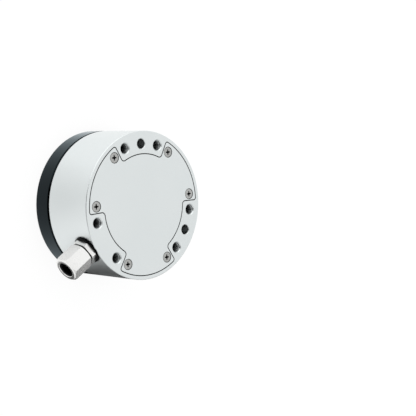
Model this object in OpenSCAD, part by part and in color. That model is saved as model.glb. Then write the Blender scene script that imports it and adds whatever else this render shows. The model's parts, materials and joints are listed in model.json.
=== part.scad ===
/* [Body] */
// Diameter of the sensor body
body_d = 75; // [72:1:90]
// Height of the robot side housing
housing_h = 29.7; // [29:0.1:40]
// Thickness of the tool side flange
flange_h = 10; // [9.5:0.5:14]
// Open gap between the flange and the housing, which lets the flange deflect
float_gap = 0.8; // [0.5:0.1:1.5]
// Chamfer of the housing's robot side edge
housing_chamfer = 0.25; // [0.2:0.05:1.2]
// Chamfer of the flange's edges
flange_chamfer = 0.5; // [0.2:0.1:1]

/* [Robot side face] */
// Number of uncovered lands around the face
lands = 3; // [3:1:3]
// Half angle of a land
land_half_angle = 28.3; // [27:0.1:29.5]
// Distance from the body's edge to a land's inner end
land_reach = 11.3; // [11:0.1:12]
// Corner radius of a land's inner end
land_corner_r = 1.6; // [1:0.1:2.5]
// Width of the rim outside the cover's lobes
rim_w = 1.9; // [1.5:0.1:2.2]
// Corner radius of the cover pocket's lobes
lobe_corner_r = 1.5; // [1:0.1:2.5]
// Distance from the body's edge to the centres of the threaded mounting holes
mount_edge = 6.25; // [5.5:0.05:6.8]
// Angle of each threaded hole to either side of its land's centre
mount_spread = 20; // [18:0.5:21]
// Depth of full thread of the mounting holes
mount_depth = 10; // [8:0.5:11]
// Distance from the body's edge to the centres of the dowel holes
dowel_edge = 6.5; // [5.5:0.1:7.5]
// Depth of the dowel holes
dowel_depth = 6; // [4:0.5:8]

/* [Cover] */
// Thickness of the cover plate
cover_t = 2; // [1.8:0.1:3]
// Groove between the cover plate and its pocket
cover_gap = 0.5; // [0.3:0.05:0.6]
// Thickness of the gasket under the cover plate
gasket_t = 0.5; // [0.3:0.1:1]
// Gap between the gasket and the pocket's wall
gasket_gap = 0.1; // [0.05:0.05:0.4]
// Angle of each cover screw to either side of a land's centre
cover_screw_spread = 35; // [34:0.5:37]
// Distance from the body's edge to the cover screws' centres
cover_screw_edge = 6.5; // [6:0.1:8]
// Length of a cover screw
cover_screw_len = 8; // [6:1:10]
// Depth of the cover screws' heads below the face
cover_screw_sink = 0.15; // [0:0.05:0.3]

/* [Tool side face] */
// Distance from the body's edge to the centres of the tool side threaded and dowel holes
tool_edge = 6; // [5.5:0.1:7]
// Number of threaded holes on the tool side
tool_holes = 6; // [4:2:6]
// Depth of full thread of the tool side holes
tool_depth = 7; // [6:0.5:7.5]
// Depth of the tool side dowel holes
tool_dowel_depth = 6; // [4:0.5:8]
// Distance from the hub's edge to the centres of the screws that hold the flange
hub_screw_edge = 5.5; // [5:0.1:6]
// Room between the ends of those screws and the gauge board
hub_screw_room = 0.6; // [0.3:0.1:2]
// Depth of the flange screws' counterbores
cbore_depth = 6.4; // [6.2:0.1:7]
// Height of the flange's boss above the bottom of the housing
boss_rise = 1.2; // [0.8:0.1:2]

/* [Sensing element] */
// Height of the sensing element
element_h = 9; // [8:0.5:10]
// Gap around the element's hub, as seen through the shelf's bore
hub_gap = 3; // [2:0.1:3.4]
// Wall between the hub's screws and the hole through its middle
hub_wall = 3; // [2.5:0.1:4]
// Wall of the housing outside the element
skirt_w = 4; // [3.5:0.1:4.5]
// Radial width of the element's rim
element_rim_w = 9; // [8.6:0.1:9.4]
// Width of a measuring beam
beam_w = 5; // [4:0.1:6]
// Height of a measuring beam
beam_h = 6; // [5:0.1:6.5]
// Thickness of the web that carries a beam's outer end
web_t = 1.4; // [1:0.1:2]
// Width of the relief slot behind each web
slot_w = 1.2; // [0.8:0.1:1.5]
// Length of the relief slot behind each web
slot_len = 14; // [10:0.5:16]
// Thickness of a strain gauge
gauge_t = 0.15; // [0.1:0.05:0.3]
// Length of a strain gauge
gauge_len = 2.6; // [2:0.1:3]
// Radius of a gauge lead
lead_r = 0.15; // [0.1:0.01:0.2]
// Length of the screws that hold the element
element_screw_len = 12; // [11:1:12]

/* [Electronics] */
// Wall of the housing around the electronics bay
bay_wall = 13.3; // [13.1:0.1:14]
// Width of the shelf that carries the main board
shelf_w = 5.2; // [5:0.1:5.6]
// Thickness of the shelf above the sensing element
shelf_t = 4; // [3.5:0.1:5]
// Overhang of the gauge board past the hub
gauge_board_lip = 1; // [0.6:0.1:1.5]
// Gap between the main board and the bay's wall
board_gap = 1; // [0.5:0.1:1.5]
// Thickness of the main board
board_t = 1.6; // [1:0.1:2]
// Height of the standoffs under the main board
standoff_h = 3; // [2.5:0.1:4]
// Thickness of the gauge board on the hub
gauge_board_t = 1; // [0.8:0.1:1.6]

/* [Cable gland] */
// Angle of the cable gland around the body
gland_angle = 210; // [205:1:215]
// Distance of the gland's axis below the robot side face
gland_drop = 7.55; // [7.4:0.05:8.4]
// Depth of the flat spot face under the gland
spot_depth = 1; // [0.8:0.1:1.6]
// Radius of the spot face
spot_r = 7.5; // [7.4:0.1:8]
// Gap between the sealing washer and the spot face's wall
washer_gap = 0.2; // [0.1:0.05:0.5]
// Thickness of the sealing washer
washer_t = 1.5; // [1:0.1:2]
// Width across the flats of the gland's hexagons
gland_af = 12; // [11.6:0.1:12.4]
// Thickness of the gland body's hexagon
gland_hex_h = 2.6; // [2:0.1:4]
// Gap between the gland body's hexagon and the nut
nut_gap = 0.4; // [0.3:0.1:1.5]
// Length of the gland nut
nut_len = 12.4; // [12:0.1:14]
// Rounding of the nut's outer end
nut_round = 2; // [1:0.1:2.2]
// Radius of the cable opening in the nut
mouth_r = 4.05; // [3.9:0.05:4.2]
// Radius of the thread that holds the gland in the housing
gland_thread_r = 4; // [3.8:0.1:4.2]
// Length of the gland's thread in the housing's wall
gland_neck_in = 8; // [6:0.5:10]
// Radius of the thread that carries the nut
nut_thread_r = 4.9; // [4.7:0.1:5]
// Length of the thread that carries the nut
gland_neck_out = 7.4; // [6:0.1:8]
// Depth of the seal's seat in the gland body
seal_seat = 4; // [3:0.5:6]
// Radius of the gland body's bore
gland_bore_r = 3; // [2.9:0.05:3.2]
// Inner radius of the gland's seal
seal_bore_r = 2.8; // [2.4:0.1:2.8]
// Outer radius of the gland's seal
seal_r = 4; // [3.9:0.05:4.1]
// Length of the nut's mouth
mouth_len = 2; // [1.5:0.1:2.5]
// Length of the seal's nose in the nut's mouth
seal_nose = 1.4; // [0.8:0.1:1.4]
// Clocking angle of the gland body's hexagon
body_hex_turn = 19; // [0:1:59]
// Clocking angle of the gland nut
nut_turn = 24; // [0:1:59]

/* [Hidden] */
$fn = 96;

// Overshoot of a cutter past the face it opens
cut = 1;
// Running clearance between machined parts
fit = 0.05;
// Half angle of a drill's point
drill_half_angle = 59;

// Screws: thread radius, clearance hole radius, head radius and head height, radius and depth of counterbores
m6_r = 3;
m6_clear_r = 3.3;
m6_head_r = 5;
m6_head_h = 6;
m6_cbore_r = 5.5;
m4_r = 2;
m4_clear_r = 2.2;
m4_head_r = 3.5;
m4_head_h = 4;
m4_cbore_r = 3.8;
m4_cbore_depth = 4.4;
m3_r = 1.5;
m3_clear_r = 1.7;
m3_head_r = 2.5;
m2_r = 1;
m2_clear_r = 1.1;
m2_head_r = 1.9;
m2_head_h = 1.3;

// Cylindrical rim of the countersunk cover screws' heads, and the gap around it
cover_head_rim = 0.35;
cover_head_gap = 0.3;

// Open holes for the user's screws and dowels
m6_tap_r = 2.5;
dowel_r = 2.5;
dowel_chamfer = 0.3;

// Room past a screw's end in its blind hole
tip_room = 1;
// Drives: width across flats and depth of a hexagon socket, width, length and depth of a cross recess
m6_key_af = 5;
m6_key_depth = 3;
m4_key_af = 3;
m4_key_depth = 2;
cross_w = 0.7;
cross_len = 2.8;
cross_depth = 1;
small_cross_len = 2;
small_cross_depth = 0.7;
// Radius of a cross recess's tapered core, and of its tip
cross_core_r = 0.8;
cross_tip_r = 0.3;

// Levels, up from the tool side face
flange_top = flange_h;
housing_z = flange_top + float_gap;
top_z = housing_z + housing_h;
element_z = housing_z + boss_rise;
ledge_z = element_z + element_h;
shelf_z = ledge_z + shelf_t;
board_z = shelf_z + standoff_h;
board_top = board_z + board_t;
cover_z = top_z - cover_t;
seat_z = cover_z - gasket_t;
gland_z = top_z - gland_drop;

// Radii, in from the body's edge
body_r = body_d / 2;
land_r = body_r - land_reach;
pocket_r = body_r - rim_w;
mount_r = body_r - mount_edge;
dowel_pcr = body_r - dowel_edge;
cover_screw_r = body_r - cover_screw_edge;
tool_r = body_r - tool_edge;
bay_r = body_r - bay_wall;
shelf_r = bay_r - shelf_w;
element_r = body_r - skirt_w;
element_in_r = element_r - element_rim_w;
element_screw_r = (element_r + element_in_r) / 2;
standoff_r = bay_r - shelf_w / 2;
hub_r = shelf_r - hub_gap;
hub_screw_r = hub_r - hub_screw_edge;
hub_screw_len = ledge_z - hub_screw_room - cbore_depth;
hub_bore_r = hub_screw_r - m6_r - hub_wall;
washer_r = spot_r - washer_gap;

// Angles of what repeats around the axis
land_angles = [for (i = [0 : lands - 1]) 90 + i * 360 / lands];
beam_angles = [for (a = land_angles) a - 60];
standoff_angles = [for (a = land_angles) a - 30];
tool_angles = [for (i = [0 : tool_holes - 1]) i * 360 / tool_holes];
tool_dowel_angles = [30, 210];
robot_dowel_angles = [90, 330];
element_screw_angles = [for (i = [0 : 5]) i * 60];
mount_angles = [for (a = land_angles, side = [-1, 1]) a + side * mount_spread];
cover_screw_angles = [for (a = land_angles, side = [-1, 1]) a + side * cover_screw_spread];

// Dowel pins between the flange and the hub
hub_dowel_r = 2;
hub_dowel_len = 8;
hub_dowel_pcr = hub_r - 1.5 * hub_dowel_r;
hub_dowel_angles = [beam_angles[0], beam_angles[1]];

// Rubber ring in the floating gap
dust_seal_edge = 0.9;
dust_seal_w = 1.7;
dust_seal_seat = 0.6;

// Strain gauges, their leads and the board that they end on
gauge_w = 2;
gauge_margin = 0.3;
gauge_board_screw_edge = 3.5;
gauge_board_screw_len = 4;
link_edge = 3;
link_size = [2.5, 10];
lead_x = hub_r + gauge_board_lip / 2;
lead_side = 1.6;
beam_z = ledge_z - element_h / 2 - beam_h / 2;
gauge_board_r = hub_r + gauge_board_lip;
gauge_board_in_r = hub_bore_r + gauge_board_lip;
gauge_board_screw_r = gauge_board_in_r + gauge_board_screw_edge;
link_r = gauge_board_r - link_edge;

// Main board, its standoffs and what is soldered on it: sizes along and across the radius, and height
board_r = bay_r - board_gap;
standoff_af = 4;
stud_len = 3;
board_screw_len = 4;
processor_size = [10, 10, 1.4];
converter_size = [6.5, 5, 1.2];
interface_size = [5, 4, 1.2];
crystal_size = [3.2, 5, 1.2];
inductor_size = [6, 6, 3];
header_size = [6, 10, 5];
converter_pcr = 13;
interface_pcr = 13;
crystal_pcr = 10.5;
inductor_pcr = 13;
capacitor_pcr = 16;
header_edge = 8.2;
header_pcr = board_r - header_edge;
capacitor_r = 1.5;
capacitor_h = 3.5;
capacitor_angles = [0, 120, 240];

// Gland, outward from the body's axis
spot_x = body_r - spot_depth;
hex_x = spot_x + washer_t;
neck_end_x = hex_x + gland_hex_h + gland_neck_out;
nut_x = hex_x + gland_hex_h + nut_gap;
shoulder_x = nut_x + nut_len - mouth_len;
hex_corner_r = gland_af / 2 / cos(30);
hex_chamfer = 0.45;
nut_chamfer = 0.8;
mouth_round = 0.4;
claw_slits = 6;
claw_slit_w = 0.7;

// Places children around the axis at a radius, for each angle
module around(radius, angles) {
    for (a = angles)
        rotate([0, 0, a])
            translate([radius, 0, 0])
                children();
}

// Places children around the axis at a radius, for each angle, all turned the same way
module clocked(radius, angles) {
    for (a = angles)
        translate([radius * cos(a), radius * sin(a), 0])
            children();
}

// A blind hole that opens upward at z = 0, with its drill point
module blind_hole(r, depth) {
    point_h = r / tan(drill_half_angle);
    rotate_extrude()
        polygon([[0, -depth - point_h], [r, -depth], [r, cut], [0, cut]]);
}

// A 45 degree chamfer that opens upward at z = 0
module mouth_cone(r_mouth, r_hole) {
    depth = r_mouth - r_hole;
    translate([0, 0, -depth])
        cylinder(h = depth + cut, r1 = r_hole, r2 = r_mouth + cut);
}

// A disc with a chamfer at its top and its bottom edge
module chamfered_disc(r, h, top_chamfer, bottom_chamfer) {
    rotate_extrude()
        polygon([
            [0, 0],
            [r - bottom_chamfer, 0],
            [r, bottom_chamfer],
            [r, h - top_chamfer],
            [r - top_chamfer, h],
            [0, h]
        ]);
}

// ---- Outline of the cover pocket and the cover plate ----

// Direction along a land's side and the normal into the land
function side_along(w) = [sin(w), cos(w)];
function side_inward(w) = [-cos(w), sin(w)];

// Centre of the arc that blends a side, at offset d from the axis, with the circle of radius rho
function blend_centre(w, d, rho) = d * side_inward(w) + sqrt(rho * rho - d * d) * side_along(w);

// The sharp corner outside a blending arc: o is its centre, n and m point to the two tangent points
module corner_waste(o, n, m, r) {
    reach = 3 * r;
    difference() {
        polygon([o, o + n * reach, o + (n + m) * reach, o + m * reach]);
        translate(o)
            circle(r = r);
    }
}

// One land, seen as the area that the cover leaves free, grown by inset
module land_area(inset) {
    w = land_half_angle;
    r_in = land_r - inset;
    corner = land_corner_r + inset;
    far = 2 * body_r;
    apex = -inset / sin(w);
    o = blend_centre(w, corner - inset, r_in + corner);
    difference() {
        polygon([[0, apex], [far * sin(w), apex + far * cos(w)], [-far * sin(w), apex + far * cos(w)]]);
        circle(r = r_in);
        for (side = [0, 1])
            mirror([side, 0])
                corner_waste(o, -side_inward(w), -o / norm(o), corner);
    }
}

// The sharp outer corners of the cover's lobes on both sides of a land
module lobe_corner_waste(inset) {
    w = land_half_angle;
    corner = lobe_corner_r - inset;
    r_out = pocket_r - inset;
    o = blend_centre(w, -inset - corner, r_out - corner);
    for (side = [0, 1])
        mirror([side, 0])
            corner_waste(o, side_inward(w), o / norm(o), corner);
}

// The three lobed outline, shrunk by inset
module cover_outline(inset) {
    difference() {
        circle(r = pocket_r - inset);
        for (a = land_angles)
            rotate([0, 0, a - 90]) {
                land_area(inset);
                lobe_corner_waste(inset);
            }
    }
}

// ---- Screws ----

// A hexagon of a given width across its flats
module hex_prism(af, h) {
    cylinder(h = h, r = af / 2 / cos(30), $fn = 6);
}

// Socket head cap screw, head down, with its seat at z = 0 and its shank upward
module cap_screw(r, len, head_r, head_h, key_af, key_depth) {
    cylinder(h = len, r = r);
    difference() {
        translate([0, 0, -head_h])
            chamfered_disc(head_r, head_h, 0, head_r / 10);
        translate([0, 0, -head_h - cut])
            hex_prism(key_af, key_depth + cut);
    }
}

// Cross recess cut downward from z = 0, with a tapered core below its wings
module cross_recess(len, depth) {
    core_h = depth + cross_core_r - cross_tip_r;
    for (turn = [0, 90])
        rotate([0, 0, turn])
            translate([-len / 2, -cross_w / 2, -depth])
                cube([len, cross_w, depth + cut]);
    translate([0, 0, -core_h])
        cylinder(h = core_h, r1 = cross_tip_r, r2 = cross_core_r);
}

// Pan head screw with its seat at z = 0 and its shank downward
module pan_screw(r, len, head_r, head_h) {
    translate([0, 0, -len])
        cylinder(h = len, r = r);
    difference() {
        chamfered_disc(head_r, head_h, head_h / 3, 0);
        translate([0, 0, head_h])
            cross_recess(small_cross_len, small_cross_depth);
    }
}

// ---- Housing and cover ----

module housing() {
    thread_depth = cover_screw_len - cover_t - gasket_t + cover_screw_sink + tip_room;
    element_thread = element_screw_len - element_h + m4_cbore_depth + tip_room;
    color("gainsboro")
        difference() {
            translate([0, 0, housing_z])
                chamfered_disc(body_r, housing_h, housing_chamfer, flange_chamfer);
            translate([0, 0, seat_z])
                linear_extrude(cover_t + gasket_t + cut)
                    cover_outline(0);
            translate([0, 0, shelf_z])
                cylinder(h = seat_z - shelf_z + cut, r = bay_r);
            translate([0, 0, ledge_z - cut])
                cylinder(h = shelf_t + 2 * cut, r = shelf_r);
            translate([0, 0, housing_z - cut])
                cylinder(h = ledge_z - housing_z + cut, r = element_r);
            translate([0, 0, top_z]) {
                around(mount_r, mount_angles) {
                    blind_hole(m6_tap_r, mount_depth);
                    mouth_cone(m6_r, m6_tap_r);
                }
                around(dowel_pcr, robot_dowel_angles) {
                    blind_hole(dowel_r, dowel_depth);
                    mouth_cone(dowel_r + dowel_chamfer, dowel_r);
                }
            }
            translate([0, 0, seat_z])
                clocked(cover_screw_r, cover_screw_angles)
                    blind_hole(m3_r, thread_depth);
            translate([0, 0, shelf_z])
                around(standoff_r, standoff_angles)
                    blind_hole(m2_r, stud_len + tip_room);
            translate([0, 0, ledge_z])
                mirror([0, 0, 1])
                    around(element_screw_r, element_screw_angles)
                        blind_hole(m4_r, element_thread);
            on_gland_axis(spot_x)
                cylinder(h = body_r, r = spot_r);
            on_gland_axis(0)
                cylinder(h = body_r, r = gland_thread_r);
        }
}

// Hole through the cover plate, which opens upward at z = 0 and seats a countersunk head
module cover_screw_seat() {
    seat_r = m3_head_r + cover_head_gap;
    rim_z = cover_screw_sink + cover_head_rim;
    cone_z = rim_z + m3_head_r - m3_clear_r;
    rotate_extrude()
        polygon([
            [0, -cover_t - cut],
            [m3_clear_r, -cover_t - cut],
            [m3_clear_r, -cone_z],
            [m3_head_r, -rim_z],
            [seat_r, -rim_z],
            [seat_r, cut],
            [0, cut]
        ]);
}

module cover_plate() {
    color("whitesmoke")
        translate([0, 0, cover_z])
            difference() {
                linear_extrude(cover_t)
                    cover_outline(cover_gap);
                translate([0, 0, cover_t])
                    clocked(cover_screw_r, cover_screw_angles)
                        cover_screw_seat();
            }
}

module cover_gasket() {
    color("dimgray")
        translate([0, 0, seat_z])
            linear_extrude(gasket_t)
                difference() {
                    cover_outline(gasket_gap);
                    circle(r = bay_r);
                    clocked(cover_screw_r, cover_screw_angles)
                        circle(r = m3_clear_r);
                }
}

module cover_screws() {
    head_h = cover_head_rim + m3_head_r - m3_r;
    color("darkgray")
        translate([0, 0, top_z - cover_screw_sink])
            clocked(cover_screw_r, cover_screw_angles)
                difference() {
                    rotate_extrude()
                        polygon([
                            [0, -cover_screw_len],
                            [m3_r, -cover_screw_len],
                            [m3_r, -head_h],
                            [m3_head_r, -cover_head_rim],
                            [m3_head_r, 0],
                            [0, 0]
                        ]);
                    cross_recess(cross_len, cross_depth);
                }
}

// ---- Tool side ----

module tool_flange() {
    groove_r = body_r - dust_seal_edge;
    color("#2a3138")
        difference() {
            union() {
                chamfered_disc(body_r, flange_h, flange_chamfer, flange_chamfer);
                cylinder(h = element_z, r = hub_r);
            }
            mirror([0, 0, 1]) {
                around(tool_r, tool_angles) {
                    blind_hole(m6_tap_r, tool_depth);
                    mouth_cone(m6_r, m6_tap_r);
                }
                around(tool_r, tool_dowel_angles) {
                    blind_hole(dowel_r, tool_dowel_depth);
                    mouth_cone(dowel_r + dowel_chamfer, dowel_r);
                }
            }
            around(hub_screw_r, land_angles) {
                translate([0, 0, -cut])
                    cylinder(h = cut + cbore_depth, r = m6_cbore_r);
                cylinder(h = element_z + cut, r = m6_clear_r);
            }
            translate([0, 0, element_z])
                around(hub_dowel_pcr, hub_dowel_angles)
                    blind_hole(hub_dowel_r, hub_dowel_len / 2);
            translate([0, 0, flange_top - dust_seal_seat])
                difference() {
                    cylinder(h = dust_seal_seat + cut, r = groove_r);
                    translate([0, 0, -cut])
                        cylinder(h = dust_seal_seat + 3 * cut, r = groove_r - dust_seal_w);
                }
        }
}

module flange_screws() {
    color("gray")
        translate([0, 0, cbore_depth])
            around(hub_screw_r, land_angles)
                cap_screw(m6_r, hub_screw_len, m6_head_r, m6_head_h, m6_key_af, m6_key_depth);
}

module hub_dowels() {
    color("silver")
        translate([0, 0, element_z - hub_dowel_len / 2])
            around(hub_dowel_pcr, hub_dowel_angles)
                chamfered_disc(hub_dowel_r, hub_dowel_len, hub_dowel_r / 6, hub_dowel_r / 6);
}

module dust_seal() {
    ring_r = body_r - dust_seal_edge;
    color("#101214")
        translate([0, 0, flange_top - dust_seal_seat])
            difference() {
                cylinder(h = dust_seal_seat + float_gap, r = ring_r);
                translate([0, 0, -cut])
                    cylinder(h = dust_seal_seat + float_gap + 2 * cut, r = ring_r - dust_seal_w);
            }
}

// ---- Sensing element ----

// Relief slot behind the web of the beam that lies along x
module relief_slot() {
    inner_r = element_in_r + web_t;
    mid_r = inner_r + slot_w / 2;
    half_angle = slot_len / 2 / mid_r * 180 / PI;
    far = 2 * mid_r;
    linear_extrude(element_h + 2 * cut) {
        intersection() {
            difference() {
                circle(r = inner_r + slot_w);
                circle(r = inner_r);
            }
            polygon([
                [0, 0],
                [far * cos(half_angle), -far * sin(half_angle)],
                [far * cos(half_angle), far * sin(half_angle)]
            ]);
        }
        for (side = [-1, 1])
            rotate(side * half_angle)
                translate([mid_r, 0])
                    circle(r = slot_w / 2);
    }
}

module sensing_element() {
    color("lightsteelblue")
        translate([0, 0, element_z])
            difference() {
                union() {
                    difference() {
                        cylinder(h = element_h, r = element_r - fit);
                        translate([0, 0, -cut])
                            cylinder(h = element_h + 2 * cut, r = element_in_r);
                    }
                    cylinder(h = element_h, r = hub_r);
                    for (a = beam_angles)
                        rotate([0, 0, a])
                            translate([0, -beam_w / 2, (element_h - beam_h) / 2])
                                cube([element_in_r + web_t / 2, beam_w, beam_h]);
                }
                translate([0, 0, -cut]) {
                    cylinder(h = element_h + 2 * cut, r = hub_bore_r);
                    around(hub_screw_r, land_angles)
                        cylinder(h = element_h + 2 * cut, r = m6_r);
                    around(element_screw_r, element_screw_angles) {
                        cylinder(h = element_h + 2 * cut, r = m4_clear_r);
                        cylinder(h = m4_cbore_depth + cut, r = m4_cbore_r);
                    }
                    for (a = beam_angles)
                        rotate([0, 0, a])
                            relief_slot();
                }
                mirror([0, 0, 1])
                    around(hub_dowel_pcr, hub_dowel_angles)
                        blind_hole(hub_dowel_r, hub_dowel_len / 2);
                translate([0, 0, element_h])
                    around(gauge_board_screw_r, beam_angles)
                        blind_hole(m2_r, gauge_board_screw_len - gauge_board_t + tip_room);
            }
}

module element_screws() {
    color("gray")
        translate([0, 0, element_z + m4_cbore_depth])
            around(element_screw_r, element_screw_angles)
                cap_screw(m4_r, element_screw_len, m4_head_r, m4_head_h, m4_key_af, m4_key_depth);
}

module strain_gauges() {
    inner_x = hub_r + gauge_margin;
    outer_x = element_in_r - gauge_margin - gauge_len;
    mid_x = (hub_r + element_in_r - gauge_len) / 2;
    color("orange")
        for (a = beam_angles)
            rotate([0, 0, a]) {
                for (x = [inner_x, outer_x])
                    translate([x, -gauge_w / 2, beam_z + beam_h])
                        cube([gauge_len, gauge_w, gauge_t]);
                for (side = [0, 1])
                    mirror([0, side, 0])
                        translate([mid_x, beam_w / 2, beam_z + beam_h / 2 - gauge_w / 2])
                            cube([gauge_len, gauge_t, gauge_w]);
            }
}

// A lead that runs inward from a gauge to its riser and then up to the gauge board
module gauge_lead(start_x, y, z) {
    translate([lead_x, y, z]) {
        cylinder(h = ledge_z - z, r = lead_r);
        sphere(r = lead_r);
        rotate([0, 90, 0])
            cylinder(h = start_x - lead_x, r = lead_r);
    }
}

module gauge_leads() {
    outer_x = element_in_r - gauge_margin - gauge_len / 2;
    mid_x = (hub_r + element_in_r - gauge_len) / 2;
    top = beam_z + beam_h;
    color("firebrick")
        for (a = beam_angles)
            rotate([0, 0, a]) {
                translate([lead_x, 0, top + gauge_t])
                    cylinder(h = ledge_z - top - gauge_t, r = lead_r);
                gauge_lead(outer_x, lead_side, top + lead_r);
                for (side = [-1, 1])
                    gauge_lead(mid_x, side * (beam_w / 2 + lead_r), beam_z + beam_h / 2);
            }
}

module gauge_board() {
    color("darkgreen")
        translate([0, 0, ledge_z])
            difference() {
                cylinder(h = gauge_board_t, r = gauge_board_r);
                translate([0, 0, -cut]) {
                    cylinder(h = gauge_board_t + 2 * cut, r = gauge_board_in_r);
                    around(gauge_board_screw_r, beam_angles)
                        cylinder(h = gauge_board_t + 2 * cut, r = m2_clear_r);
                }
            }
}

module gauge_board_screws() {
    color("silver")
        translate([0, 0, ledge_z + gauge_board_t])
            around(gauge_board_screw_r, beam_angles)
                pan_screw(m2_r, gauge_board_screw_len, m2_head_r, m2_head_h);
}

module link_header() {
    bottom = ledge_z + gauge_board_t;
    color("black")
        translate([0, 0, bottom])
            around(link_r, [90])
                translate([-link_size[0] / 2, -link_size[1] / 2, 0])
                    cube([link_size[0], link_size[1], board_z - bottom]);
}

// ---- Electronics ----

module main_board() {
    color("green")
        translate([0, 0, board_z])
            difference() {
                cylinder(h = board_t, r = board_r);
                translate([0, 0, -cut])
                    around(standoff_r, standoff_angles)
                        cylinder(h = board_t + 2 * cut, r = m2_clear_r);
            }
}

module board_standoffs() {
    color("goldenrod")
        translate([0, 0, shelf_z])
            around(standoff_r, standoff_angles) {
                translate([0, 0, -stud_len])
                    cylinder(h = stud_len, r = m2_r);
                difference() {
                    hex_prism(standoff_af, standoff_h);
                    translate([0, 0, standoff_h])
                        blind_hole(m2_r, standoff_h - m2_r);
                }
            }
}

module board_screws() {
    color("silver")
        translate([0, 0, board_top])
            around(standoff_r, standoff_angles)
                pan_screw(m2_r, board_t + standoff_h - 2 * m2_r, m2_head_r, m2_head_h);
}

// A soldered package, centred on its place on the main board
module package(size) {
    translate([-size[0] / 2, -size[1] / 2, board_top])
        cube(size);
}

module processor() {
    color("#222222")
        package(processor_size);
}

module converter_chips() {
    color("#222222")
        around(converter_pcr, beam_angles)
            package(converter_size);
}

module interface_chip() {
    color("#222222")
        around(interface_pcr, [land_angles[0]])
            package(interface_size);
}

module crystal() {
    color("silver")
        around(crystal_pcr, [standoff_angles[0]])
            package(crystal_size);
}

module capacitors() {
    color("slategray")
        translate([0, 0, board_top])
            around(capacitor_pcr, capacitor_angles)
                cylinder(h = capacitor_h, r = capacitor_r);
}

module power_inductor() {
    color("#444444")
        around(inductor_pcr, [land_angles[2]])
            package(inductor_size);
}

module cable_header() {
    wall = 0.8;
    color("ivory")
        around(header_pcr, [land_angles[1]])
            difference() {
                package(header_size);
                translate([0, 0, board_top + header_size[2] / 2])
                    translate([-header_size[0] / 2 + wall, -header_size[1] / 2 + wall, 0])
                        cube([header_size[0] - 2 * wall, header_size[1] - 2 * wall, header_size[2]]);
            }
}

// ---- Cable gland ----

// Puts children on the gland's axis, with z outward from a distance to the body's axis
module on_gland_axis(x) {
    translate([0, 0, gland_z])
        rotate([0, 0, gland_angle])
            translate([x, 0, 0])
                rotate([0, 90, 0])
                    children();
}

// Turns a hexagon on the gland's axis so that its corner leans by an angle from the level
module gland_hex(turn, h) {
    rotate([0, 0, 90 + turn])
        hex_prism(gland_af, h);
}

module gland_washer() {
    color("#101214")
        on_gland_axis(spot_x)
            difference() {
                cylinder(h = washer_t, r = washer_r);
                translate([0, 0, -cut])
                    cylinder(h = washer_t + 2 * cut, r = gland_thread_r);
            }
}

module gland_body() {
    length = gland_neck_in + washer_t + gland_hex_h + gland_neck_out;
    color("lightgray")
        on_gland_axis(spot_x - gland_neck_in)
            difference() {
                union() {
                    cylinder(h = gland_neck_in + washer_t, r = gland_thread_r);
                    translate([0, 0, gland_neck_in + washer_t])
                        intersection() {
                            gland_hex(body_hex_turn, gland_hex_h);
                            chamfered_disc(hex_corner_r, gland_hex_h, hex_chamfer, hex_chamfer);
                        }
                    cylinder(h = length, r = min(gland_thread_r, nut_thread_r));
                    translate([0, 0, length - gland_neck_out])
                        cylinder(h = gland_neck_out, r = nut_thread_r);
                }
                translate([0, 0, -cut])
                    cylinder(h = length + 2 * cut, r = gland_bore_r);
                translate([0, 0, length - seal_seat])
                    cylinder(h = seal_seat + cut, r = seal_r);
            }
}

module gland_seal() {
    start = neck_end_x - seal_seat;
    length = shoulder_x - start;
    color("#101214")
        on_gland_axis(start)
            difference() {
                union() {
                    cylinder(h = length, r = seal_r);
                    cylinder(h = length + seal_nose, r = mouth_r - fit);
                }
                translate([0, 0, -cut])
                    cylinder(h = length + seal_nose + 2 * cut, r = seal_bore_r);
            }
}

module gland_claw() {
    length = shoulder_x - neck_end_x;
    solid_h = length / 4;
    color("#1b1b1b")
        on_gland_axis(neck_end_x)
            difference() {
                cylinder(h = length, r = nut_thread_r - fit);
                translate([0, 0, -cut])
                    cylinder(h = length + 2 * cut, r = seal_r);
                translate([0, 0, solid_h])
                    for (i = [0 : claw_slits - 1])
                        rotate([0, 0, i * 360 / claw_slits])
                            translate([0, -claw_slit_w / 2, 0])
                                cube([2 * nut_thread_r, claw_slit_w, length]);
            }
}

// Half section of the gland nut, its axis along y
module nut_section() {
    difference() {
        union() {
            square([hex_corner_r - nut_round, nut_len]);
            square([hex_corner_r, nut_len - nut_round]);
            translate([hex_corner_r - nut_round, nut_len - nut_round])
                circle(r = nut_round);
        }
        translate([0, -cut])
            square([nut_thread_r, nut_len - mouth_len + cut]);
        square([mouth_r, nut_len + cut]);
        translate([mouth_r, nut_len - mouth_round])
            difference() {
                square([mouth_round, mouth_round + cut]);
                translate([mouth_round, 0])
                    circle(r = mouth_round);
            }
        polygon([
            [hex_corner_r - 2 * nut_chamfer, -cut],
            [hex_corner_r - 2 * nut_chamfer, 0],
            [hex_corner_r, nut_chamfer],
            [hex_corner_r + cut, nut_chamfer],
            [hex_corner_r + cut, -cut]
        ]);
    }
}

module gland_nut() {
    color("lightgray")
        on_gland_axis(nut_x)
            intersection() {
                gland_hex(nut_turn, nut_len);
                rotate_extrude()
                    nut_section();
            }
}

housing();
cover_plate();
cover_gasket();
cover_screws();
tool_flange();
flange_screws();
hub_dowels();
dust_seal();
sensing_element();
element_screws();
strain_gauges();
gauge_leads();
gauge_board();
gauge_board_screws();
link_header();
main_board();
board_standoffs();
board_screws();
processor();
converter_chips();
interface_chip();
crystal();
capacitors();
power_inductor();
cable_header();
gland_washer();
gland_body();
gland_seal();
gland_claw();
gland_nut();
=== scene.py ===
import json
import math
from collections import namedtuple

import bmesh
import bpy
from mathutils import Matrix, Vector


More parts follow.
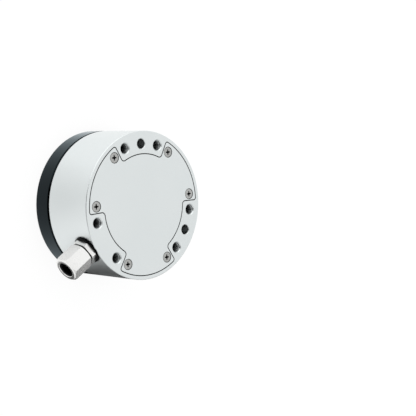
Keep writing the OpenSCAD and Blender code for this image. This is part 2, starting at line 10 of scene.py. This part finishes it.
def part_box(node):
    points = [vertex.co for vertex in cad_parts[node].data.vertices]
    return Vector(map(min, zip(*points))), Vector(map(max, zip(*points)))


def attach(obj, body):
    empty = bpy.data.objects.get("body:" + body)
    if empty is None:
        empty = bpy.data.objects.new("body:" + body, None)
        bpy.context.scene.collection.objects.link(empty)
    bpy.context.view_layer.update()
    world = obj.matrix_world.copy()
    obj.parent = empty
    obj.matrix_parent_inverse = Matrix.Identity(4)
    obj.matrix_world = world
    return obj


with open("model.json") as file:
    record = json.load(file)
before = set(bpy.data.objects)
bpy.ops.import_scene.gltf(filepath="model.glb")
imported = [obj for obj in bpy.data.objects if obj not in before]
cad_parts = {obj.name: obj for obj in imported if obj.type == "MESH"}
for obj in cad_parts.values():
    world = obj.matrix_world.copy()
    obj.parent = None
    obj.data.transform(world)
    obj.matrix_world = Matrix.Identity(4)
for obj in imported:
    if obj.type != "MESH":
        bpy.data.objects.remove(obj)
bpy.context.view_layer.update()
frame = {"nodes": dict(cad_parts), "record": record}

nodes = frame["nodes"]
slot_of = {part["node"]: part["material_slot"] for part in frame["record"]["subparts"]}

MM = 0.001


# ---- Places, worked out from the frame ----

_, housing_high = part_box("housing")
BODY_R = housing_high.x
FACE_Z = housing_high.z

# The holes of the two faces: how far their axes lie inside the body's edge, and their angles from +X
ROBOT_THREAD_INSET = 6.25 * MM
ROBOT_THREAD_ANGLES = [70, 110, 190, 230, 310, 350]
ROBOT_DOWEL_INSET = 6.5 * MM
ROBOT_DOWEL_ANGLES = [90, 330]
DOWEL_BORE_R = 2.5 * MM
TOOL_THREAD_INSET = 6 * MM
TOOL_THREAD_ANGLES = [0, 60, 120, 180, 240, 300]


def inside_edge(inset, degrees, z):
    """The point at an angle from +X that lies inset from the body's edge."""
    radius = BODY_R - inset
    angle = math.radians(degrees)
    return Vector((radius * math.cos(angle), radius * math.sin(angle), z))


# ---- Shader nodes ----

def feed(tree, node, inputs):
    """Link each given input of a node to an output, or set a number, place or colour on it."""
    for key, value in inputs.items():
        socket = node.inputs[key]
        if isinstance(value, bpy.types.NodeSocket):
            tree.links.new(value, socket)
        elif socket.type == "RGBA":
            socket.default_value = (*value, 1)
        else:
            socket.default_value = value


def add_node(tree, kind, inputs=None, **settings):
    """A new shader node with its settings and its inputs."""
    node = tree.nodes.new("ShaderNode" + kind)
    for setting, value in settings.items():
        setattr(node, setting, value)
    feed(tree, node, inputs or {})
    return node


def object_place(tree):
    """Where a point of the surface lies in the frame."""
    return add_node(tree, "TexCoord").outputs["Object"]


def calculate(tree, operation, *values):
    """One step of arithmetic on numbers or outputs."""
    return add_node(tree, "Math", dict(enumerate(values)), operation=operation).outputs[0]


def product(tree, *values):
    result = values[0]
    for value in values[1:]:
        result = calculate(tree, "MULTIPLY", result, value)
    return result


def remap(tree, value, low, high, from_low=0.3, from_high=0.7, smooth=False):
    """A level that goes from low to high while value goes from from_low to from_high."""
    inputs = {"Value": value, "From Min": from_low, "From Max": from_high, "To Min": low, "To Max": high}
    interpolation = "SMOOTHSTEP" if smooth else "LINEAR"
    return add_node(tree, "MapRange", inputs, interpolation_type=interpolation).outputs["Result"]


def noise(tree, scale, detail, roughness=0.5):
    """Noise with about scale patches to a metre."""
    inputs = {"Vector": object_place(tree), "Scale": scale, "Detail": detail, "Roughness": roughness}
    return add_node(tree, "TexNoise", inputs).outputs["Fac"]


def mix_colours(tree, factor, a, b, blend="MIX"):
    inputs = {"Factor": factor, "A": a, "B": b}
    return add_node(tree, "Mix", inputs, data_type="RGBA", blend_type=blend).outputs["Result"]


def bump(tree, height, strength, distance):
    inputs = {"Height": height, "Strength": strength, "Distance": distance}
    return add_node(tree, "Bump", inputs).outputs["Normal"]


def distance_to(tree, place, point):
    return add_node(tree, "VectorMath", {0: place, 1: point}, operation="DISTANCE").outputs["Value"]


def near_axes(tree, places, full, ends):
    """1 closer than full to any of the upright axes through the places, 0 past the distance ends."""
    flat_place = add_node(tree, "VectorMath", {0: object_place(tree), 1: (1, 1, 0)}, operation="MULTIPLY")
    result = 0
    for place in places:
        near = remap(tree, distance_to(tree, flat_place.outputs[0], place), 1, 0, full, ends)
        result = calculate(tree, "MAXIMUM", result, near)
    return result


# ---- Materials ----

MATERIALS = {}

# Painted shade in holes and grooves. The colour is multiplied by darkest where the share of open
# surroundings within reach is closed or less, and stays as it is where that share is open or more.
RecessShade = namedtuple("RecessShade", "reach darkest closed open")

# The painted shade is held lighter in the two dowel bores than in other holes: it darkens their colour to
# no less than this level, up to a little past their wall
DOWEL_SHADE_LIMIT = 0.46
DOWEL_LIMIT_FULL = DOWEL_BORE_R + 0.1 * MM
DOWEL_LIMIT_ENDS = DOWEL_BORE_R + 0.2 * MM


def new_material(name):
    """A material, kept under its slot's name. Returns its tree and its shader."""
    material = bpy.data.materials.new(name)
    material.use_nodes = True
    MATERIALS[name] = material
    return material.node_tree, material.node_tree.nodes["Principled BSDF"]


def paint_recess_shade(tree, colour, recess_shades):
    """Painted shade in holes and grooves: the colour is darkened where the surface is closed in."""
    if not recess_shades:
        return colour
    dowel_axes = [inside_edge(ROBOT_DOWEL_INSET, angle, 0) for angle in ROBOT_DOWEL_ANGLES]
    dowel_shade_limit = product(tree, near_axes(tree, dowel_axes, DOWEL_LIMIT_FULL, DOWEL_LIMIT_ENDS), DOWEL_SHADE_LIMIT)
    for recess_shade in recess_shades:
        openness = add_node(tree, "AmbientOcclusion", {"Distance": recess_shade.reach}, samples=8).outputs["AO"]
        level = remap(tree, openness, recess_shade.darkest, 1, recess_shade.closed, recess_shade.open)
        level = calculate(tree, "MAXIMUM", level, dowel_shade_limit)
        colour = mix_colours(tree, 1, colour, level, blend="MULTIPLY")
    return colour


def finish_material(
    name, dark, light, metallic, rough,
    grain=0, grain_depth=0, patch=60, coat=0, specular=0.5, recess_shades=(),
):
    """A metal, rubber or plastic with a fine grain, its colour and roughness changing in soft patches, with
    painted shade in holes and grooves where asked.
    """
    tree, shader = new_material(name)
    patches = noise(tree, patch, detail=3)
    colour = mix_colours(tree, remap(tree, patches, 0, 1), dark, light)
    feed(tree, shader, {
        "Base Color": paint_recess_shade(tree, colour, recess_shades),
        "Roughness": remap(tree, patches, *rough),
        "Metallic": metallic,
        "Specular IOR Level": specular,
    })
    if coat:
        feed(tree, shader, {"Coat Weight": coat, "Coat Roughness": 0.12})
    if grain:
        grains = noise(tree, grain, detail=2, roughness=0.6)
        feed(tree, shader, {"Normal": bump(tree, grains, strength=0.35, distance=grain_depth)})


def turned_material(name, dark, light, metallic, rough, pitch, depth, tint=(1, 1, 1), film=0):
    """A lathe-turned metal: fine rings around the body's axis on the faces, and along it on the sides."""
    tree, shader = new_material(name)
    x, y, z = add_node(tree, "SeparateXYZ", {0: object_place(tree)}).outputs
    radius = calculate(tree, "SQRT", calculate(tree, "ADD", product(tree, x, x), product(tree, y, y)))
    ring_inputs = {"W": calculate(tree, "ADD", radius, z), "Scale": 1 / pitch, "Detail": 2}
    rings = add_node(tree, "TexNoise", ring_inputs, noise_dimensions="1D").outputs["Fac"]
    patches = noise(tree, scale=45, detail=3)
    feed(tree, shader, {
        "Base Color": mix_colours(tree, remap(tree, patches, 0, 1), dark, light),
        "Roughness": remap(tree, rings, *rough),
        "Normal": bump(tree, rings, strength=0.3, distance=depth),
        "Metallic": metallic,
        "Specular Tint": tint,
    })
    if film:
        feed(tree, shader, {"Coat Weight": film, "Coat Roughness": 0.2})


def board_material():
    """Green solder mask with faint copper tracks under it."""
    tree, shader = new_material("board")
    cells = add_node(
        tree, "TexVoronoi", {"Vector": object_place(tree), "Scale": 420},
        feature="DISTANCE_TO_EDGE", distance="CHEBYCHEV",
    )
    track = remap(tree, cells.outputs["Distance"], 1, 0, from_low=0.02, from_high=0.09)
    mask, mask_on_copper = (0.012, 0.11, 0.045), (0.03, 0.21, 0.09)
    feed(tree, shader, {
        "Base Color": mix_colours(tree, track, mask, mask_on_copper),
        "Normal": bump(tree, track, strength=0.4, distance=0.04 * MM),
        "Roughness": 0.3,
    })


# Colours are given as their darkest and lightest patch, roughness likewise, grain in patches to a metre
# The silver, screw and nickel materials get painted shade in the colour of their holes and grooves
finish_material(
    "silver_aluminium", (0.716, 0.754, 0.756), (0.743, 0.777, 0.779), metallic=1, rough=(0.37, 0.42),
    grain=9000, grain_depth=0.012 * MM, patch=35,
    recess_shades=(
        RecessShade(reach=8 * MM, darkest=0.11, closed=0.05, open=0.6),
        RecessShade(reach=1.2 * MM, darkest=0, closed=0.5, open=1),
    ),
)
turned_material(
    "black_aluminium", (0.0045, 0.0078, 0.0096), (0.0060, 0.0094, 0.0114), metallic=1, rough=(0.15, 0.21),
    pitch=0.18 * MM, depth=0.003 * MM, tint=(0.88, 0.965, 1), film=0.10,
)
turned_material(
    "element_aluminium", (0.55, 0.57, 0.59), (0.62, 0.64, 0.66), metallic=0.9, rough=(0.26, 0.36),
    pitch=0.22 * MM, depth=0.004 * MM,
)
finish_material(
    "black_steel", (0.022, 0.027, 0.030), (0.036, 0.042, 0.046), metallic=0.8, rough=(0.28, 0.38),
    grain=5000, grain_depth=0.01 * MM,
)
finish_material(
    "screw_steel", (0.375, 0.38, 0.37), (0.45, 0.455, 0.445), metallic=0.9, rough=(0.24, 0.34),
    grain=5000, grain_depth=0.008 * MM,
    recess_shades=(RecessShade(reach=1.5 * MM, darkest=0, closed=0.5, open=0.95),),
)
finish_material("can_steel", (0.62, 0.62, 0.62), (0.70, 0.70, 0.70), metallic=1, rough=(0.2, 0.3))
finish_material(
    "nickel_plate", (0.80, 0.80, 0.79), (0.86, 0.86, 0.85), metallic=0.95, rough=(0.24, 0.32),
    grain=4000, grain_depth=0.008 * MM,
    recess_shades=(RecessShade(reach=2 * MM, darkest=0.3, closed=0.2, open=0.8),),
)
finish_material("brass", (0.60, 0.43, 0.17), (0.70, 0.52, 0.23), metallic=1, rough=(0.24, 0.34))
finish_material(
    "lead_wire", (0.42, 0.09, 0.03), (0.52, 0.13, 0.05), metallic=0.3, rough=(0.22, 0.3), coat=0.5,
)
finish_material(
    "black_rubber", (0.0006, 0.0008, 0.0010), (0.0012, 0.0014, 0.0016), metallic=0, rough=(0.26, 0.34),
    grain=5000, grain_depth=0.008 * MM, specular=0.03,
)
finish_material(
    "black_plastic", (0.014, 0.014, 0.015), (0.022, 0.022, 0.024), metallic=0, rough=(0.45, 0.6),
    grain=6000, grain_depth=0.01 * MM,
)
finish_material("grey_plastic", (0.30, 0.33, 0.38), (0.36, 0.39, 0.44), metallic=0.5, rough=(0.3, 0.4))
finish_material("white_plastic", (0.74, 0.70, 0.60), (0.80, 0.76, 0.66), metallic=0, rough=(0.4, 0.5))
finish_material(
    "ferrite", (0.045, 0.045, 0.047), (0.07, 0.07, 0.072), metallic=0, rough=(0.6, 0.75),
    grain=7000, grain_depth=0.02 * MM,
)
finish_material(
    "gauge_film", (0.60, 0.28, 0.05), (0.70, 0.36, 0.08), metallic=0, rough=(0.2, 0.3), coat=0.6,
)
board_material()


# ---- The CAD nodes: finish and softened edges ----

EDGE_WIDTHS = {
    "housing": 0.03 * MM,
    "cover_plate": 0.03 * MM,
    "tool_flange": 0.14 * MM,
    "gland_nut": 0.16 * MM,
    "gland_body": 0.12 * MM,
    "cover_screws": 0.06 * MM,
    "flange_screws": 0.1 * MM,
    "gland_washer": 0.2 * MM,
}
SHARP_FROM = math.radians(28)


def soften(obj, width):
    """Break the sharp edges of a node by a narrow bevel."""
    bevel = obj.modifiers.new("edge", "BEVEL")
    bevel.width = width
    bevel.segments = 2
    bevel.limit_method = "ANGLE"
    bevel.angle_limit = SHARP_FROM


for name, obj in nodes.items():
    obj.data.materials.clear()
    obj.data.materials.append(MATERIALS[slot_of[name]])
    if name in EDGE_WIDTHS:
        soften(obj, EDGE_WIDTHS[name])


# ---- Threads in the open holes of the two faces ----

COUNTERSINK = 0.5 * MM
ROBOT_THREAD_DEPTH = 8.5 * MM
TOOL_THREAD_DEPTH = 5.5 * MM
TAP_R = 2.5 * MM
PITCH = 1 * MM
TURN_STEPS = 28

# Section of the ridge: how far its foot is sunk in the wall, how far its crest stands off the wall, and
# half the width of each as a share of the pitch
FOOT_SUNK = 0.02 * MM
CREST_HEIGHT = 0.35 * MM
FOOT_HALF = 0.44
CREST_HALF = 0.07

# The ridge begins this share of the pitch inside the mouth, and rises to its height over this many turns
RUN_IN = 0.45
RISE_TURNS = 0.5


def add_piece(name, mesh, slot):
    obj = bpy.data.objects.new(name, mesh)
    bpy.context.scene.collection.objects.link(obj)
    mesh.materials.append(MATERIALS[slot])
    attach(obj, "root")


def wind_thread(bm, mouth, axis, depth):
    """The ridge of a thread, wound down the wall of a hole whose mouth faces along axis."""
    place = Matrix.Translation(mouth) @ axis.to_track_quat("Z", "Y").to_matrix().to_4x4()
    section = (
        (FOOT_SUNK, FOOT_HALF),
        (-CREST_HEIGHT, CREST_HALF),
        (-CREST_HEIGHT, -CREST_HALF),
        (FOOT_SUNK, -FOOT_HALF),
    )
    rows = []
    for step in range(int(depth / PITCH * TURN_STEPS) + 1):
        angle = 2 * math.pi * step / TURN_STEPS
        z = -PITCH * (step / TURN_STEPS + RUN_IN)
        rise = min(1, step / TURN_STEPS / RISE_TURNS)
        row = []
        for outward, along in section:
            radius = TAP_R + outward * rise
            point = Vector((radius * math.cos(angle), radius * math.sin(angle), z + along * PITCH))
            row.append(bm.verts.new(place @ point))
        rows.append(row)
    for upper, lower in zip(rows, rows[1:]):
        for k in range(len(section) - 1):
            bm.faces.new((upper[k], upper[k + 1], lower[k + 1], lower[k]))


def add_threads(name, mouths, axis, depth, slot):
    """The threads of one side, as one piece."""
    mesh = bpy.data.meshes.new(name)
    bm = bmesh.new()
    for mouth in mouths:
        wind_thread(bm, mouth, axis, depth)
    bmesh.ops.recalc_face_normals(bm, faces=bm.faces)
    bm.to_mesh(mesh)
    bm.free()
    for face in mesh.polygons:
        face.use_smooth = True
    add_piece(name, mesh, slot)


add_threads(
    "robot_side_threads",
    [inside_edge(ROBOT_THREAD_INSET, angle, FACE_Z - COUNTERSINK) for angle in ROBOT_THREAD_ANGLES],
    Vector((0, 0, 1)), ROBOT_THREAD_DEPTH, "silver_aluminium",
)
add_threads(
    "tool_side_threads",
    [inside_edge(TOOL_THREAD_INSET, angle, COUNTERSINK) for angle in TOOL_THREAD_ANGLES],
    Vector((0, 0, -1)), TOOL_THREAD_DEPTH, "black_aluminium",
)


# ---- Floor, light and camera ----

FLOOR_HALF = 6
FLOOR_DROP = 0.02 * MM
FLOOR_COLOUR = 0.14
GLOW_SEEN = 0.88
GLOW_BOUNCED = 0.45
TOUCHING = 0.2 * MM
WHITE = (1, 1, 1)


def painted_floor_shadow(tree, centre, full, ends, level):
    """A round soft-edged painted shadow on the floor: level closer than full to its centre, 1 past ends."""
    place = add_node(tree, "NewGeometry").outputs["Position"]
    return remap(tree, distance_to(tree, place, (*centre, 0)), level, 1, full, ends, smooth=True)


def floor_material():
    """White with the object's faint shadow for the camera, and with four painted shadows for everything
    else.

    The painted shadows put shade on the side of the object, which mirrors them. The floor is see-through
    from below, and for rays that start within TOUCHING of it, so that the tool side can be seen and mirrors
    the world below.
    """
    material = bpy.data.materials.new("floor")
    material.use_nodes = True
    tree = material.node_tree
    tree.nodes.clear()
    path = add_node(tree, "LightPath").outputs
    # Painted shadows of the object on the floor around it, seen only by reflections and bounced light
    painted_shadows = product(
        tree,
        painted_floor_shadow(tree, centre=(0.05, -0.075), full=0.067, ends=0.1, level=0.02),
        painted_floor_shadow(tree, centre=(0.148, -0.15), full=0.06, ends=0.13, level=0.1),
        painted_floor_shadow(tree, centre=(-0.056, -0.064), full=0.012, ends=0.034, level=0.04),
        painted_floor_shadow(tree, centre=(-0.06, 0.012), full=0, ends=0.05, level=0.78),
    )
    colour = product(tree, calculate(tree, "MAXIMUM", path["Is Camera Ray"], painted_shadows), FLOOR_COLOUR)
    seen = product(tree, path["Is Camera Ray"], GLOW_SEEN)
    mirror_ray = calculate(tree, "MAXIMUM", path["Is Glossy Ray"], path["Is Transmission Ray"])
    mirrored = product(tree, mirror_ray, painted_shadows)
    bounced = product(tree, path["Is Diffuse Ray"], painted_shadows, GLOW_BOUNCED)
    strength = calculate(tree, "ADD", seen, calculate(tree, "ADD", mirrored, bounced))
    diffuse = add_node(tree, "BsdfDiffuse", {"Color": colour})
    glow = add_node(tree, "Emission", {"Color": WHITE, "Strength": strength})
    white = add_node(tree, "AddShader", {0: diffuse.outputs[0], 1: glow.outputs[0]})
    clear = add_node(tree, "BsdfTransparent")
    backfacing = add_node(tree, "NewGeometry").outputs["Backfacing"]
    touching = calculate(tree, "LESS_THAN", path["Ray Length"], TOUCHING)
    see_through = calculate(tree, "MAXIMUM", backfacing, touching)
    surface = add_node(tree, "MixShader", {0: see_through, 1: white.outputs[0], 2: clear.outputs[0]})
    add_node(tree, "OutputMaterial", {"Surface": surface.outputs[0]})
    return material


def make_floor():
    mesh = bpy.data.meshes.new("floor")
    corners = [(x * FLOOR_HALF, y * FLOOR_HALF, 0) for x, y in ((-1, -1), (1, -1), (1, 1), (-1, 1))]
    mesh.from_pydata(corners, [], [(0, 1, 2, 3)])
    mesh.materials.append(floor_material())
    floor = bpy.data.objects.new("floor", mesh)
    floor.location = (0, 0, -FLOOR_DROP)
    bpy.context.scene.collection.objects.link(floor)


def light_from(tree, direction, outside, inside, begins, full, smooth=False):
    """A level that goes from outside to inside as a ray turns toward the direction.

    begins and full are cosines of the angle between the ray and the direction.
    """
    ray = add_node(tree, "TexCoord").outputs["Generated"]
    toward = Vector(direction).normalized()
    agreement = add_node(tree, "VectorMath", {0: ray, 1: toward}, operation="DOT_PRODUCT")
    return remap(tree, agreement.outputs["Value"], outside, inside, begins, full, smooth)


def make_world():
    """White for camera and transmission rays, and a soft light from all round for every other ray.

    Reflections see the soft light and not the white. It is brighter toward +Y and above, and below the
    floor. Reflections also see two dark corners in it: one on the camera's side, one low on the far side.
    """
    world = bpy.data.worlds.new("studio")
    bpy.context.scene.world = world
    world.use_nodes = True
    tree = world.node_tree
    tree.nodes.clear()
    path = add_node(tree, "LightPath").outputs
    slope = light_from(
        tree, (-0.25, 0.85, 0.45), outside=0.7, inside=1.02, begins=-0.85, full=0.2, smooth=True,
    )
    camera_side = light_from(tree, (-0.75, 0.02, 0.66), outside=1, inside=0, begins=0.89, full=0.95)
    far_side = light_from(tree, (0.82, -0.54, -0.2), outside=1, inside=0.1, begins=0.84, full=0.95)
    below = light_from(tree, (0, 0, -1), outside=1, inside=2.2, begins=0.05, full=0.6)
    corners = calculate(tree, "MAXIMUM", product(tree, camera_side, far_side), path["Is Diffuse Ray"])
    strength = product(tree, slope, corners, below)
    soft = add_node(tree, "Background", {"Color": WHITE, "Strength": strength})
    white = add_node(tree, "Background", {"Color": WHITE})
    sees_white = calculate(tree, "MAXIMUM", path["Is Camera Ray"], path["Is Transmission Ray"])
    surface = add_node(tree, "MixShader", {0: sees_white, 1: soft.outputs[0], 2: white.outputs[0]})
    add_node(tree, "OutputWorld", {"Surface": surface.outputs[0]})


def area_light(name, place, target, size, power):
    data = bpy.data.lights.new(name, "AREA")
    data.shape = "RECTANGLE"
    data.size, data.size_y = size
    data.energy = power
    lamp = bpy.data.objects.new(name, data)
    lamp.location = place
    lamp.rotation_euler = (Vector(target) - Vector(place)).to_track_quat("-Z", "Y").to_euler()
    bpy.context.scene.collection.objects.link(lamp)


def make_camera():
    """The camera: place, sight line and roll in the frame, with a lens for a 36 mm wide sensor."""
    data = bpy.data.cameras.new("camera")
    data.sensor_width = 36
    data.lens = 104.32
    data.clip_start = 0.01
    data.clip_end = 50
    place = Vector((-395.76, 60.80, 495.27)) * MM
    sight = Vector((0.69131, -0.10535, -0.71484)).normalized()
    up = Vector((0.11055, 0.99309, -0.03944))
    right = sight.cross(up).normalized()
    up = right.cross(sight)
    rotation = Matrix((right, up, -sight)).transposed().to_4x4()
    camera = bpy.data.objects.new("camera", data)
    camera.matrix_world = Matrix.Translation(place) @ rotation
    bpy.context.scene.collection.objects.link(camera)
    bpy.context.scene.camera = camera


make_floor()
make_world()
area_light("key", place=(-0.3, 1.6, 1.0), target=(0, 0, 0.02), size=(2.4, 1.6), power=6)
make_camera()
bpy.context.scene.view_settings.view_transform = "Standard"
